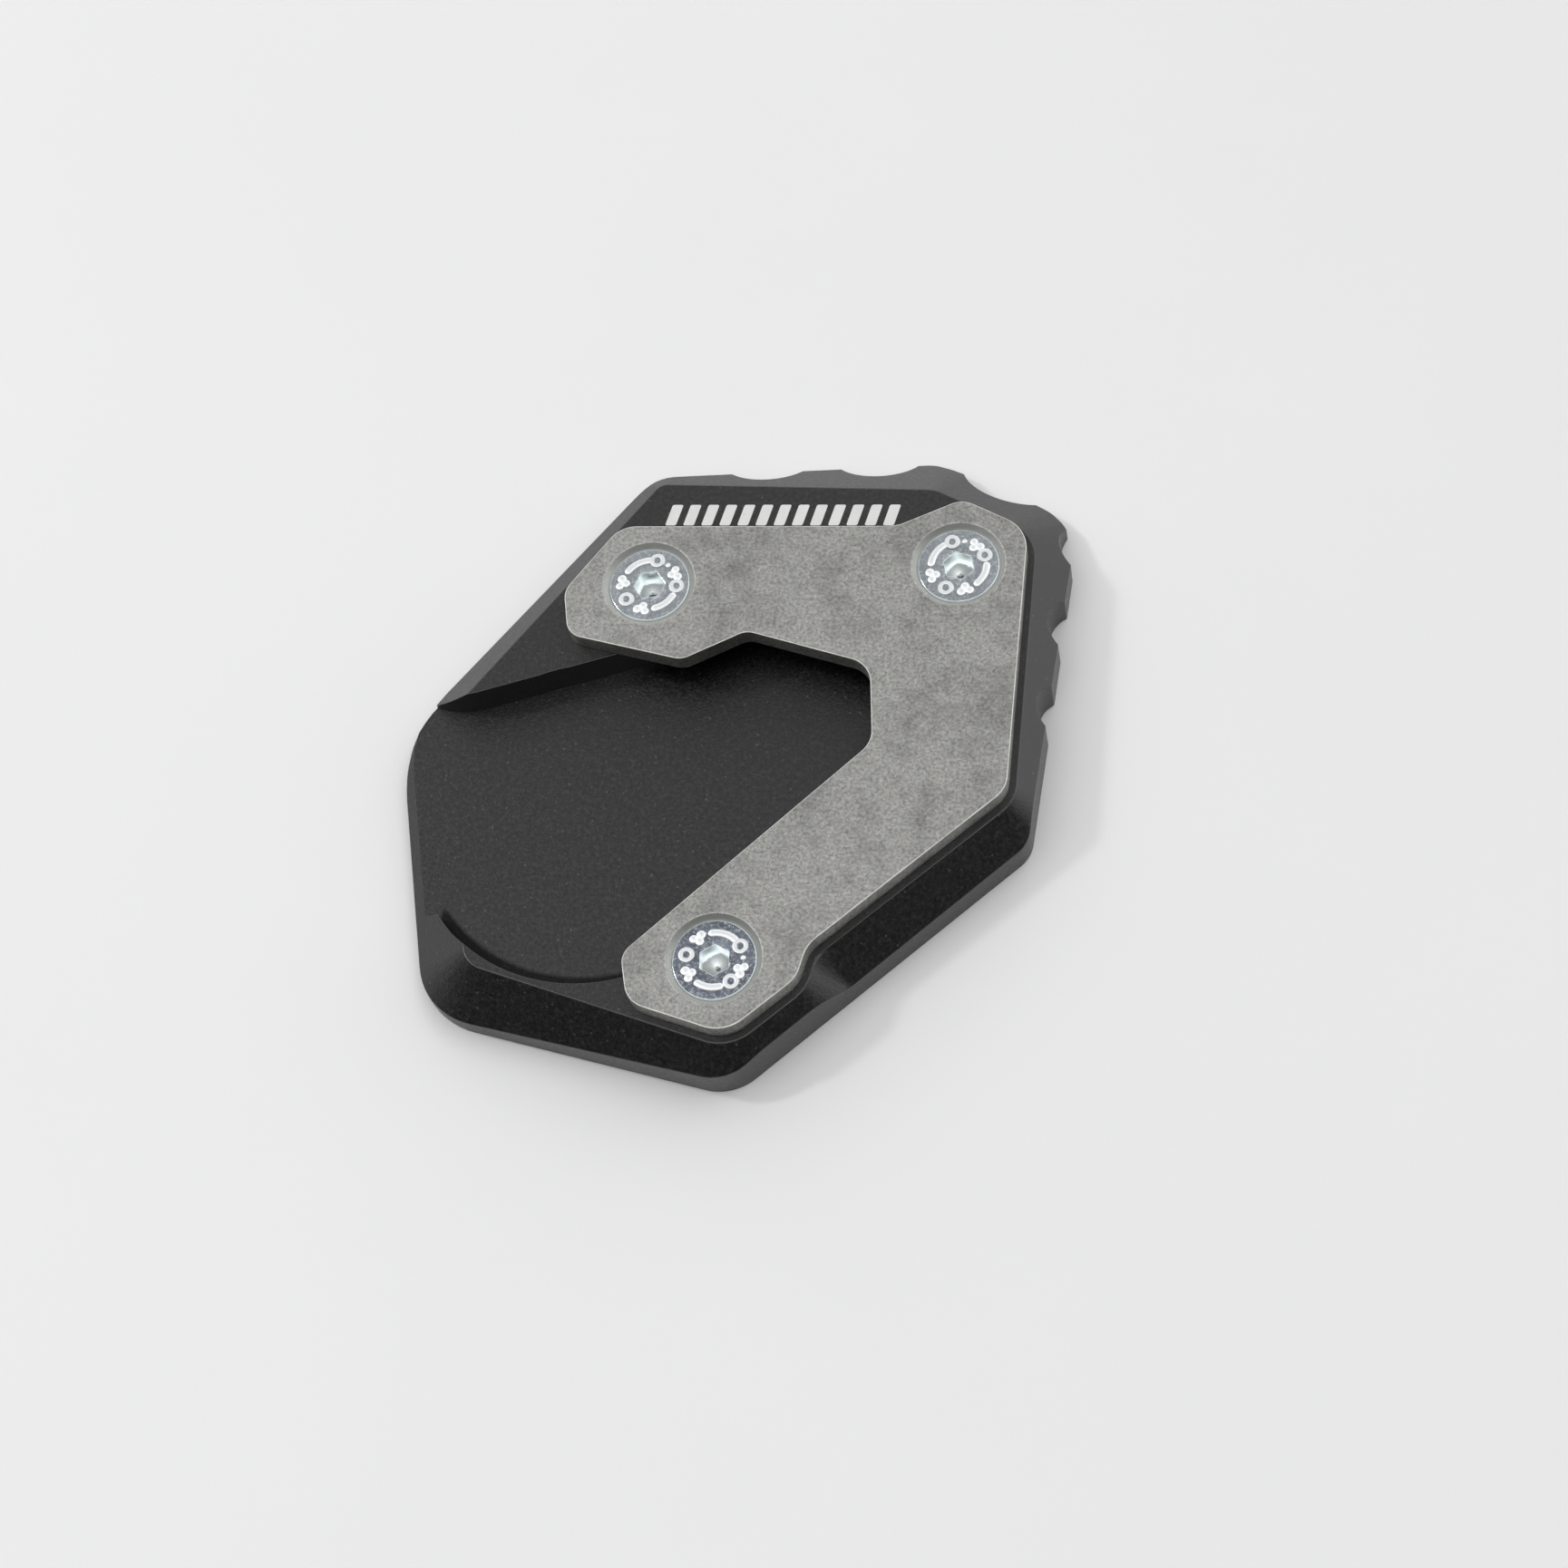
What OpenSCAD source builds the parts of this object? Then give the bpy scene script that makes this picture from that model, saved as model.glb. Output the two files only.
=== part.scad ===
// Enlarger plate for the foot of a motorcycle side stand, in millimetres.
// The base plate lies on z = 0. The stand's foot sits in its pocket, open towards -X,
// and the hooked clamp plate holds the foot down with countersunk screws.
//
// An outline is a ring of straight edges, anticlockwise. Each edge has the angle it faces,
// and then [distance from its reference point, radius of the corner after it].

/* [Screws] */
// Screw in the right lobe, X
screw_right_x = 31.7; // [31:0.1:33]
// Screw in the right lobe, Y
screw_right_y = 26.5; // [25:0.1:28]
// Screw in the left lobe, X
screw_left_x = -12.7; // [-14:0.1:-11]
// Screw in the left lobe, Y
screw_left_y = 22.2; // [21:0.1:24]
// Screw in the lower lobe, X
screw_lower_x = 3.4; // [2:0.1:4]
// Screw in the lower lobe, Y
screw_lower_y = -35.3; // [-36:0.1:-34]
// Thread diameter of the screws
thread_d = 6; // [5:0.5:6]
// Length of a screw, head included
screw_len = 10; // [9:0.5:11]
// Head diameter
head_d = 11.8; // [11.2:0.1:12]
// Height of the straight rim of the head
head_rim = 0.3; // [0.2:0.05:0.5]
// Bevel round the top of the head
head_bevel = 0.15; // [0.1:0.05:0.2]
// Hexagon socket, width across flats
hex_af = 4; // [3.5:0.1:4.5]
// Depth of the hexagon socket's straight sides
hex_depth = 2; // [1.5:0.1:2.4]
// Rounded lead-in round the mouth of the socket
hex_lead = 0.25; // [0.1:0.05:0.4]
// Diameter of the drill point at the bottom of the socket
drill_d = 3.6; // [3:0.1:3.8]
// Bevel round the tip of the shank
tip_bevel = 0.8; // [0.4:0.1:1]

/* [Clamp plate] */
// Thickness of the clamp plate
clamp_t = 3; // [2.5:0.1:3.5]
// Diameter of the countersinks at the top face
sink_d = 13.4; // [13:0.1:14]
// Outer edge on the right, from the right screw
clamp_right_angle = 0; // [-2:0.1:2]
// Its distance from the right screw, and the radius of the corner after it
clamp_right = [9.5, 5.5]; // [5:0.05:10]
// Slanted edge above the right screw, from the right screw
clamp_shoulder_angle = 65.3; // [63.3:0.1:67.3]
// Its distance from the right screw, and the radius of the corner after it
clamp_shoulder = [9.5, 3.5]; // [3:0.05:10]
// Slanted edge down to the long top edge, from the right screw
clamp_dip_angle = 116.6; // [114.6:0.1:118.6]
// Its distance from the right screw, and the radius of the corner after it
clamp_dip = [9.6, 5]; // [4.5:0.05:10.5]
// Long top edge, from the left screw
clamp_top_angle = 91.5; // [89.5:0.1:93.5]
// Its distance from the left screw, and the radius of the corner after it
clamp_top = [9.4, 4.5]; // [4:0.05:10]
// Slanted edge outside the left screw, from the left screw
clamp_left_slant_angle = 146.8; // [144.8:0.1:148.8]
// Its distance from the left screw, and the radius of the corner after it
clamp_left_slant = [9.5, 3.5]; // [3:0.05:10]
// End edge of the left lobe, from the left screw
clamp_left_end_angle = 191.7; // [189.7:0.1:193.7]
// Its distance from the left screw, and the radius of the corner after it
clamp_left_end = [12.4, 3]; // [2.5:0.05:13]
// Lower edge of the left lobe, from the left screw
clamp_left_low_angle = 258.3; // [256.3:0.1:260.3]
// Its distance from the left screw, and the radius of the corner after it
clamp_left_low = [10.7, 3]; // [2.5:0.05:11.5]
// Short slanted edge into the mouth, from the left screw
clamp_mouth_slant_angle = 298.8; // [296.8:0.1:300.8]
// Its distance from the left screw, and the radius of the corner after it
clamp_mouth_slant = [13.7, 3]; // [2.5:0.05:14.5]
// Upper edge of the mouth, from the left screw
clamp_mouth_top_angle = 255.6; // [253.6:0.1:257.6]
// Its distance from the left screw, and the radius of the corner after it
clamp_mouth_top = [3.4, 4]; // [3:0.05:4.5]
// Back edge of the mouth, from the right screw
clamp_mouth_back_angle = 186.6; // [184.6:0.1:188.6]
// Its distance from the right screw, and the radius of the corner after it
clamp_mouth_back = [13, 4]; // [3.5:0.05:13.5]
// Lower edge of the mouth, from the lower screw
clamp_mouth_low_angle = 136.5; // [134.5:0.1:138.5]
// Its distance from the lower screw, and the radius of the corner after it
clamp_mouth_low = [9.5, 3]; // [2.5:0.05:10]
// End edge of the lower lobe, from the lower screw
clamp_lower_end_angle = 193.5; // [191.5:0.1:195.5]
// Its distance from the lower screw, and the radius of the corner after it
clamp_lower_end = [12.6, 4]; // [3.5:0.05:13.5]
// Bottom edge of the lower lobe, from the lower screw
clamp_bottom_angle = 254.5; // [252.5:0.1:256.5]
// Its distance from the lower screw, and the radius of the corner after it
clamp_bottom = [9.6, 5.5]; // [5:0.05:10.5]
// Right edge of the lower lobe, from the lower screw
clamp_lobe_side_angle = 313.5; // [311.5:0.1:315.5]
// Its distance from the lower screw, and the radius of the corner after it
clamp_lobe_side = [9.6, 5]; // [4.5:0.05:10.5]
// Short step up from the lower lobe, from the lower screw
clamp_step_angle = 349; // [347:0.1:351]
// Its distance from the lower screw, and the radius of the corner after it
clamp_step = [11.8, 5]; // [4.5:0.05:12.5]
// Long slanted outer edge, from the lower screw
clamp_diag_angle = 313.9; // [311.9:0.1:315.9]
// Its distance from the lower screw, and the radius of the corner after it
clamp_diag = [6.85, 4.5]; // [4:0.05:7.5]

/* [Base plate] */
// Thickness of the base plate
base_t = 9; // [8.5:0.1:10]
// Angle of the sloped border, from the horizontal
slope_angle = 42; // [40:0.5:45]
// Flat top left bare round the clamp plate
land_margin = 1; // [0.6:0.1:1.4]
// Radius of the hollow in the slope beside the lower lobe
hollow_r = 7; // [4:0.5:8]
// Outer edge on the right, from the centre
base_right_angle = -3.6; // [-5.6:0.1:-1.6]
// Its distance from the centre, and the radius of the corner after it
base_right = [44.9, 10]; // [9.5:0.05:45.5]
// Slanted edge at the upper right, from the centre
base_shoulder_angle = 65.3; // [63.3:0.1:67.3]
// Its distance from the centre, and the radius of the corner after it
base_shoulder = [55.2, 4]; // [3.5:0.05:56]
// Long top edge, from the centre
base_top_angle = 99; // [97:0.1:101]
// Its distance from the centre, and the radius of the corner after it
base_top = [44.6, 10]; // [9.5:0.05:45.5]
// Slanted edge at the upper left, from the centre
base_left_slant_angle = 143.2; // [141.2:0.1:145.2]
// Its distance from the centre, and the radius of the corner after it
base_left_slant = [38.1, 18]; // [17.5:0.05:39]
// Edge on the left, where the stand comes in, from the centre
base_left_angle = 192.9; // [190.9:0.1:194.9]
// Its distance from the centre, and the radius of the corner after it
base_left = [47.2, 11.5]; // [11:0.05:48]
// Bottom edge, from the centre
base_bottom_angle = 258.7; // [256.7:0.1:260.7]
// Its distance from the centre, and the radius of the corner after it
base_bottom = [48.6, 7.6]; // [7:0.05:49.5]
// Slanted edge at the lower right, from the centre
base_diag_angle = 314.4; // [312.4:0.1:316.4]
// Its distance from the centre, and the radius of the corner after it
base_diag = [40.45, 5]; // [4.5:0.05:41]
// Middle of the whole outline, X
middle_x = 0.04; // [-0.5:0.01:0.5]
// Middle of the whole outline, Y
middle_y = -0.55; // [-1:0.01:0]
// Flat top: edge on the left, from the centre
land_left_angle = 192.9; // [190.9:0.1:194.9]
// Its distance from the centre, and the radius of the corner after it
land_left = [39.4, 4]; // [3.5:0.05:40]
// Flat top: upper edge, from the centre
land_top_angle = 90; // [88:0.1:92]
// Its distance from the centre, and the radius of the corner after it
land_top = [40.3, 2]; // [1.5:0.05:41]
// Flat top: slanted edge at the upper left, from the centre
land_left_slant_angle = 145.6; // [143.6:0.1:147.6]
// Its distance from the centre, and the radius of the corner after it
land_left_slant = [34, 10]; // [9.5:0.05:34.5]

/* [Scallops in the edge of the base] */
// Lower scallop on the right: X, Y, radius
scallop_right_low = [47.6, 7.2, 3.8]; // [-60:0.1:60]
// Middle scallop on the right: X, Y, radius
scallop_right_mid = [48.6, 20.8, 4.2]; // [-60:0.1:60]
// Upper scallop on the right: X, Y, radius
scallop_right_top = [50.2, 34.9, 5.2]; // [-60:0.1:60]
// Wide scallop at the upper right corner: X, Y, radius
scallop_corner = [37.8, 49.5, 8.2]; // [-60:0.1:60]
// Right scallop in the top edge: X, Y, radius
scallop_top_right = [16.8, 51.4, 6.65]; // [-60:0.1:60]
// Left scallop in the top edge: X, Y, radius
scallop_top_left = [0.4, 49.4, 6.6]; // [-60:0.1:60]

/* [Pocket for the stand's foot] */
// Depth of the pocket below the flat top
pocket_depth = 5.5; // [5:0.1:6]
// Centre of the round lower wall, X
heel_x = -17.5; // [-18:0.1:-17]
// Centre of the round lower wall, Y
heel_y = -14.1; // [-15:0.1:-13]
// Radius of the round lower wall
heel_r = 24.6; // [24:0.1:25]
// Width of the rim of the foot that the clamp plate covers
foot_cover = 4.8; // [4:0.1:5.5]
// Angle at which the round lower wall starts, by the open side
heel_from = 215; // [212:0.5:218]
// Angle at which the round lower wall runs straight on
heel_to = 315; // [312:0.5:318]
// Corner radius of the hidden end of the pocket
pocket_r = 8; // [6:0.5:10]
// Corner radius between the upper wall and the hidden end
wall_r = 12; // [10:0.5:14]
// Direction of the pocket's upper wall
wall_angle = 19; // [17:0.5:21]
// Point on the upper wall near the open side, X
wall_x = -41.3; // [-42:0.1:-40]
// Point on the upper wall near the open side, Y
wall_y = 3.6; // [3:0.1:4.2]
// Angle by which the upper wall turns out at the open side
lead_angle = 49; // [45:1:52]
// Radius that leads the upper wall out at the open side
lead_r = 3; // [2:0.5:4]

/* [Fits] */
// Gap between the head's cone and its seat
seat_gap = 0.05; // [0.02:0.01:0.1]
// Gap between the shank and the tapped hole
thread_gap = 0.05; // [0.02:0.01:0.1]

/* [Part to show] */
// Which part to build

/* [Hidden] */
eps = 0.01;
arc_step = 6;
screw_right = [screw_right_x, screw_right_y];
screw_left = [screw_left_x, screw_left_y];
screw_lower = [screw_lower_x, screw_lower_y];
screws = [screw_left, screw_right, screw_lower];
centre = [0, 0];

// the head's cone touches its seat where the seat is as wide as the head
head_drop = (sink_d - head_d) / 2 + seat_gap;
top_z = base_t + clamp_t;
head_z = top_z - head_drop + head_rim;
shank_r = thread_d / 2 - thread_gap;
floor_z = base_t - pocket_depth;
slope_run = base_t / tan(slope_angle);
// puts the middle of the outline on the Z axis
middle_shift = [-middle_x, -middle_y];
heel = [heel_x, heel_y];
open_x = -2 * base_left[0];
overlap = 0.02;

function normal(a) = [cos(a), sin(a)];
function turn(a, b) = b - a - 360 * floor((b - a + 180) / 360);

// an edge measured from a point, as [angle, distance from the centre, radius]
function edge(from, angle, e, out = 0) = [angle, normal(angle) * from + e[0] + out, e[1] + out];

// where two edges meet, each moved inwards by its own amount
function meet(a, b, in_a = 0, in_b = 0) =
    let (
        da = a[1] - in_a,
        db = b[1] - in_b,
        s = sin(b[0] - a[0])
    )
    [(da * sin(b[0]) - db * sin(a[0])) / s, (db * cos(a[0]) - da * cos(b[0])) / s];

// the arc that rounds the corner between two edges; it bends inwards at a hollow corner
function corner(a, b) =
    let (
        t = turn(a[0], b[0]),
        side = sign(t),
        r = a[2] * side,
        c = meet(a, b, r, r),
        n = ceil(abs(t) / arc_step)
    )
    [for (i = [0:n]) c + r * normal(a[0] + t * i / n)];

function ring(edges) =
    [for (i = [0:len(edges) - 1]) each corner(edges[i], edges[(i + 1) % len(edges)])];

clamp_edges = [
    edge(screw_right, clamp_right_angle, clamp_right),
    edge(screw_right, clamp_shoulder_angle, clamp_shoulder),
    edge(screw_right, clamp_dip_angle, clamp_dip),
    edge(screw_left, clamp_top_angle, clamp_top),
    edge(screw_left, clamp_left_slant_angle, clamp_left_slant),
    edge(screw_left, clamp_left_end_angle, clamp_left_end),
    edge(screw_left, clamp_left_low_angle, clamp_left_low),
    edge(screw_left, clamp_mouth_slant_angle, clamp_mouth_slant),
    edge(screw_left, clamp_mouth_top_angle, clamp_mouth_top),
    edge(screw_right, clamp_mouth_back_angle, clamp_mouth_back),
    edge(screw_lower, clamp_mouth_low_angle, clamp_mouth_low),
    edge(screw_lower, clamp_lower_end_angle, clamp_lower_end),
    edge(screw_lower, clamp_bottom_angle, clamp_bottom),
    edge(screw_lower, clamp_lobe_side_angle, clamp_lobe_side),
    edge(screw_lower, clamp_step_angle, clamp_step),
    edge(screw_lower, clamp_diag_angle, clamp_diag)
];

base_edges = [
    edge(centre, base_right_angle, base_right),
    edge(centre, base_shoulder_angle, base_shoulder),
    edge(centre, base_top_angle, base_top),
    edge(centre, base_left_slant_angle, base_left_slant),
    edge(centre, base_left_angle, base_left),
    edge(centre, base_bottom_angle, base_bottom),
    edge(centre, base_diag_angle, base_diag)
];

// the flat top follows the clamp plate below and on the right
land_low = edge(screw_lower, clamp_bottom_angle, clamp_bottom, land_margin);
land_main_edges = [
    edge(screw_right, clamp_right_angle, clamp_right, land_margin),
    edge(screw_right, clamp_shoulder_angle, clamp_shoulder, land_margin),
    edge(centre, land_top_angle, land_top),
    edge(centre, land_left_slant_angle, land_left_slant),
    edge(centre, land_left_angle, land_left),
    land_low,
    edge(screw_lower, clamp_diag_angle, clamp_diag, land_margin)
];
land_diag = edge(screw_lower, clamp_diag_angle, clamp_diag, land_margin);
land_step = edge(screw_lower, clamp_step_angle, clamp_step, land_margin);
land_lobe_edges = [
    land_low,
    edge(screw_lower, clamp_lobe_side_angle, clamp_lobe_side, land_margin),
    [land_step[0], land_step[1], land_margin],
    edge(screw_lower, clamp_mouth_low_angle, [0, land_margin])
];

scallops = [
    scallop_right_low, scallop_right_mid, scallop_right_top,
    scallop_corner, scallop_top_right, scallop_top_left
];

// pocket walls: they run under the clamp plate by the covered rim of the foot
function under_rim(from, angle, e) = edge(from, angle - 180, [foot_cover - e[0], pocket_r]);
wall_upper = edge([wall_x, wall_y], wall_angle + 90, [0, wall_r]);
wall_mouth = under_rim(screw_left, clamp_mouth_top_angle, clamp_mouth_top);
wall_back = under_rim(screw_right, clamp_mouth_back_angle, clamp_mouth_back);
wall_low = edge(heel, heel_to, [heel_r, pocket_r]);
wall_lead = edge([wall_x, wall_y], wall_angle + 90 - lead_angle, [0, lead_r]);
heel_side = heel + heel_r * normal(heel_to);
// just inside the round wall, so that the walls meet it cleanly
heel_end = heel + (1 - overlap) * heel_r * normal(heel_from);
mouth_low = [open_x, heel_y - heel_r / 4];

// a convex flat top at full height with slopes falling away all round
module sloped_block(edges) {
    hull()
        for (i = [0:len(edges) - 1]) {
            a = edges[i];
            b = edges[(i + 1) % len(edges)];
            translate(meet(a, b, a[2], a[2]))
                cylinder(h = base_t, r1 = a[2] + slope_run, r2 = a[2], $fn = 32);
        }
}

// fills the valley between the lobe's step and the long slanted edge with a hollow cone
module valley_fill() {
    c = meet(land_diag, land_step, -hollow_r, -hollow_r);
    depth = hollow_r * tan(slope_angle);
    translate([c[0], c[1], base_t - depth])
        difference() {
            linear_extrude(depth, scale = 1 / eps)
                polygon([for (p = [
                    [0, 0],
                    -hollow_r * normal(land_diag[0]),
                    meet(land_diag, land_step) - c,
                    -hollow_r * normal(land_step[0])
                ]) p * eps]);
            translate([0, 0, -eps])
                cylinder(h = depth + 2 * eps, r1 = 0, r2 = hollow_r + 2 * eps / tan(slope_angle), $fn = 48);
        }
}

module foot_pocket() {
    translate([0, 0, floor_z]) {
        translate(heel)
            cylinder(h = base_t, r = heel_r, $fn = 96);
        linear_extrude(base_t)
            polygon(concat(
                [[open_x, wall_y + heel_r / 2], mouth_low, heel_end, heel, heel_side],
                corner(wall_low, wall_back),
                corner(wall_back, wall_mouth),
                corner(wall_mouth, wall_upper),
                corner(wall_upper, wall_lead)
            ));
    }
}

module base_body() {
    difference() {
        intersection() {
            linear_extrude(base_t)
                polygon(ring(base_edges));
            union() {
                sloped_block(land_main_edges);
                sloped_block(land_lobe_edges);
                valley_fill();
            }
        }
        for (s = scallops)
            translate([s[0], s[1], -eps])
                cylinder(h = base_t + 2 * eps, r = s[2], $fn = 96);
        foot_pocket();
        for (p = screws)
            translate([p[0], p[1], 0])
                screw_cut();
    }
}

// one bore and one cone cut the clamp plate's countersink and the tapped hole under it
module screw_cut() {
    sink_tip = top_z - (sink_d - thread_d) / 2;
    translate([0, 0, -eps])
        cylinder(h = top_z + 2 * eps, d = thread_d, $fn = 48);
    translate([0, 0, sink_tip])
        cylinder(h = top_z - sink_tip + eps, d1 = thread_d, d2 = sink_d + 2 * eps, $fn = 96);
}

module clamp_body() {
    difference() {
        translate([0, 0, base_t])
            linear_extrude(clamp_t)
                polygon(ring(clamp_edges));
        for (p = screws)
            translate([p[0], p[1], 0])
                screw_cut();
    }
}

module screw(p) {
    cone_h = head_d / 2 - shank_r;
    under = head_z - head_rim - cone_h;
    tip_z = head_z - screw_len;
    hex_r = hex_af / 2 / cos(30);
    drill_r = drill_d / 2;
    translate([p[0], p[1], 0])
        difference() {
            rotate_extrude($fn = 96)
                polygon([
                    [0, tip_z],
                    [shank_r - tip_bevel, tip_z],
                    [shank_r, tip_z + tip_bevel],
                    [shank_r, under],
                    [head_d / 2, under + cone_h],
                    [head_d / 2, head_z - head_bevel],
                    [head_d / 2 - head_bevel, head_z],
                    [0, head_z]
                ]);
            translate([0, 0, head_z - hex_depth])
                rotate(30)
                    cylinder(h = hex_depth + eps, r = hex_r, $fn = 6);
            // lead-in round the mouth, and the drill point under the flat bottom
            translate([0, 0, head_z - hex_lead])
                cylinder(h = hex_lead + eps, r1 = hex_r - hex_lead, r2 = hex_r + eps, $fn = 48);
            translate([0, 0, head_z - hex_depth - drill_r / 2])
                cylinder(h = drill_r / 2, r1 = 0, r2 = drill_r, $fn = 48);
        }
}

module base_plate() {
    color([0.12, 0.12, 0.12])
        translate(middle_shift)
            base_body();
}

module clamp_plate() {
    color([0.6, 0.6, 0.58])
        translate(middle_shift)
            clamp_body();
}

module screw_left() {
    color([0.75, 0.77, 0.8])
        translate(middle_shift)
            screw(screw_left);
}

module screw_right() {
    color([0.75, 0.77, 0.8])
        translate(middle_shift)
            screw(screw_right);
}

module screw_lower() {
    color([0.75, 0.77, 0.8])
        translate(middle_shift)
            screw(screw_lower);
}

base_plate();
clamp_plate();
screw_left();
screw_right();
screw_lower();
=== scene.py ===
import math

import bmesh
import bpy
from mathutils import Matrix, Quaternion, Vector


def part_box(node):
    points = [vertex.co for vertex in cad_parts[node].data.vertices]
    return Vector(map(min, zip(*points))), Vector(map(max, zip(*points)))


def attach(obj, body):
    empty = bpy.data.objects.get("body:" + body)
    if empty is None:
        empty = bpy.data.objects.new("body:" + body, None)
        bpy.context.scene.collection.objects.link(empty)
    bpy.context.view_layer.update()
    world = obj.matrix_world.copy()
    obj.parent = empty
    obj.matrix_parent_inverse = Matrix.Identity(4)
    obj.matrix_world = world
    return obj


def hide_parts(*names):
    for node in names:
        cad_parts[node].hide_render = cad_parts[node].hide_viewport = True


bl_info = {
    "name": "Side stand foot enlarger",
    "version": (1, 0, 0),
    "blender": (4, 5, 0),
    "location": "View3D > Sidebar > Enlarger",
    "description": "Finishes, threaded screws, printed bars and a studio for a foot enlarger",
    "category": "Object",
}

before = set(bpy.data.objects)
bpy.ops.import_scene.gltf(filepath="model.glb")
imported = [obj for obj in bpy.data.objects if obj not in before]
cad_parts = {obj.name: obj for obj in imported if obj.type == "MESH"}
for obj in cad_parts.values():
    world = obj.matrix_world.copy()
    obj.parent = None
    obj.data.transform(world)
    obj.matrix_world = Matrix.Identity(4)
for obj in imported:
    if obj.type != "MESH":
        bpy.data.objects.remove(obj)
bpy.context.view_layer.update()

BODY = "root"
MM = 0.001
# Level of the base plate's flat top
LAND_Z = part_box("base_plate")[1].z
SCREW_NODES = ("screw_left", "screw_right", "screw_lower")
# Soft shading joins faces that meet at less than this angle
SMOOTH_ANGLE = math.radians(30)
# Faces of a solid that meet at less than this angle are one flat face
FLAT_ANGLE = math.radians(0.3)
# A raised mark starts this far above its face, so that no two faces lie in one plane
PROUD = 0.005 * MM
# Vertices closer than this are one
SAME_POINT = 1e-7
BROKEN_SEGMENTS = 2


# Selecting and shaping


def clear_selection():
    """Leaves nothing selected and nothing active, in object mode."""
    if bpy.context.object and bpy.context.object.mode != "OBJECT":
        bpy.ops.object.mode_set(mode="OBJECT")
    bpy.ops.object.select_all(action="DESELECT")
    bpy.context.view_layer.objects.active = None


def pick(*pieces):
    """Selects only these pieces; the first one is active."""
    clear_selection()
    for piece in pieces:
        piece.select_set(True)
    bpy.context.view_layer.objects.active = pieces[0]


def edit(piece):
    """Goes into edit mode on one piece with all of it selected."""
    pick(piece)
    bpy.ops.object.mode_set(mode="EDIT")
    bpy.ops.mesh.select_mode(type="FACE")
    bpy.ops.mesh.select_all(action="SELECT")


def keep_place():
    """Moves the selected piece's place, turn and scale into its mesh."""
    bpy.ops.object.transform_apply(location=True, rotation=True, scale=True)


def done(piece):
    """Back to object mode, with the place kept in the mesh and even, soft shading."""
    bpy.ops.object.mode_set(mode="OBJECT")
    keep_place()
    bpy.ops.object.shade_smooth_by_angle(angle=SMOOTH_ANGLE)
    even = piece.modifiers.new("even_shading", "WEIGHTED_NORMAL")
    even.keep_sharp = True
    bpy.ops.object.modifier_apply(modifier=even.name)


def node_copy(node, name, weld=0.002 * MM):
    """A copy of a node's solid with its loose triangles merged and its flat faces made whole."""
    clear_selection()
    piece = bpy.data.objects.new(name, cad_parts[node].data.copy())
    bpy.context.scene.collection.objects.link(piece)
    pick(piece)
    bpy.ops.mesh.customdata_custom_splitnormals_clear()
    edit(piece)
    bpy.ops.mesh.remove_doubles(threshold=weld)
    bpy.ops.mesh.dissolve_limited(angle_limit=FLAT_ANGLE, delimit=set())
    bpy.ops.object.mode_set(mode="OBJECT")
    piece.data.materials.clear()
    return piece


def select_edges(piece, test):
    """In edit mode, selects the edges that pass a test."""
    bpy.ops.mesh.select_mode(type="EDGE")
    bpy.ops.mesh.select_all(action="DESELECT")
    mesh = bmesh.from_edit_mesh(piece.data)
    for e in mesh.edges:
        if len(e.link_faces) == 2 and test(e):
            e.select = True
    bmesh.update_edit_mesh(piece.data)


def break_edges(piece, width, angle, test=None):
    """Rounds the outer edges that are sharper than an angle, and marks the new faces."""
    edit(piece)
    sharp = math.radians(angle)
    select_edges(
        piece,
        lambda e: e.is_convex
        and e.calc_face_angle(0.0) > sharp
        and (test is None or test(e)),
    )
    bpy.ops.mesh.bevel(
        offset=width,
        offset_type="OFFSET",
        segments=BROKEN_SEGMENTS,
        affect="EDGES",
        clamp_overlap=False,
        miter_outer="SHARP",
    )
    bpy.ops.object.mode_set(mode="OBJECT")
    mark_faces(piece, "broken_edge", lambda f: f.select)


def mark_faces(piece, layer, test, value=1.0, within=False):
    """Writes a value on the faces that pass a test, in a named layer, and 0 on the rest.

    Within what is marked already, it scales the marks that pass and keeps the rest.
    """
    mesh = piece.data
    marks = mesh.attributes.get(layer) or mesh.attributes.new(layer, "FLOAT", "FACE")
    for f in mesh.polygons:
        mark = marks.data[f.index]
        if within:
            mark.value *= value if test(f) else 1.0
        else:
            mark.value = value if test(f) else 0.0


def outward(piece):
    """Merges doubles and turns all faces outwards."""
    edit(piece)
    bpy.ops.mesh.remove_doubles(threshold=SAME_POINT)
    bpy.ops.mesh.normals_make_consistent(inside=False)
    bpy.ops.object.mode_set(mode="OBJECT")


def combine(piece, other, operation):
    """Adds or cuts another closed piece by an applied Boolean, and removes the other piece."""
    pick(piece)
    cut = piece.modifiers.new("combine", "BOOLEAN")
    cut.operation = operation
    cut.object = other
    cut.solver = "EXACT"
    bpy.ops.object.modifier_apply(modifier=cut.name)
    pick(other)
    bpy.ops.object.delete()
    pick(piece)


def screw_centre(node):
    """Middle of a screw's head, on its top face."""
    low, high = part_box(node)
    return Vector(((low.x + high.x) / 2, (low.y + high.y) / 2, high.z))


def put_on(piece, replaced=None, material=None):
    """Rides the piece on the one body and gives it its material."""
    if material:
        piece.data.materials.clear()
        piece.data.materials.append(material)
    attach(piece, BODY)
    if replaced:
        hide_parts(replaced)


# Materials

BLACK = (0.0, 0.0, 0.0)
LIGHT_SPECK = (0.09, 0.09, 0.092)
DARK_PIT = (0.12, 0.118, 0.11)
THIN_INK = (0.35, 0.35, 0.35)
# Refraction of the glassy layer on the anodised metal
COAT_IOR = 1.73


def times(colour, share):
    """A colour made lighter or darker."""
    return [c * share for c in colour]


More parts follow.
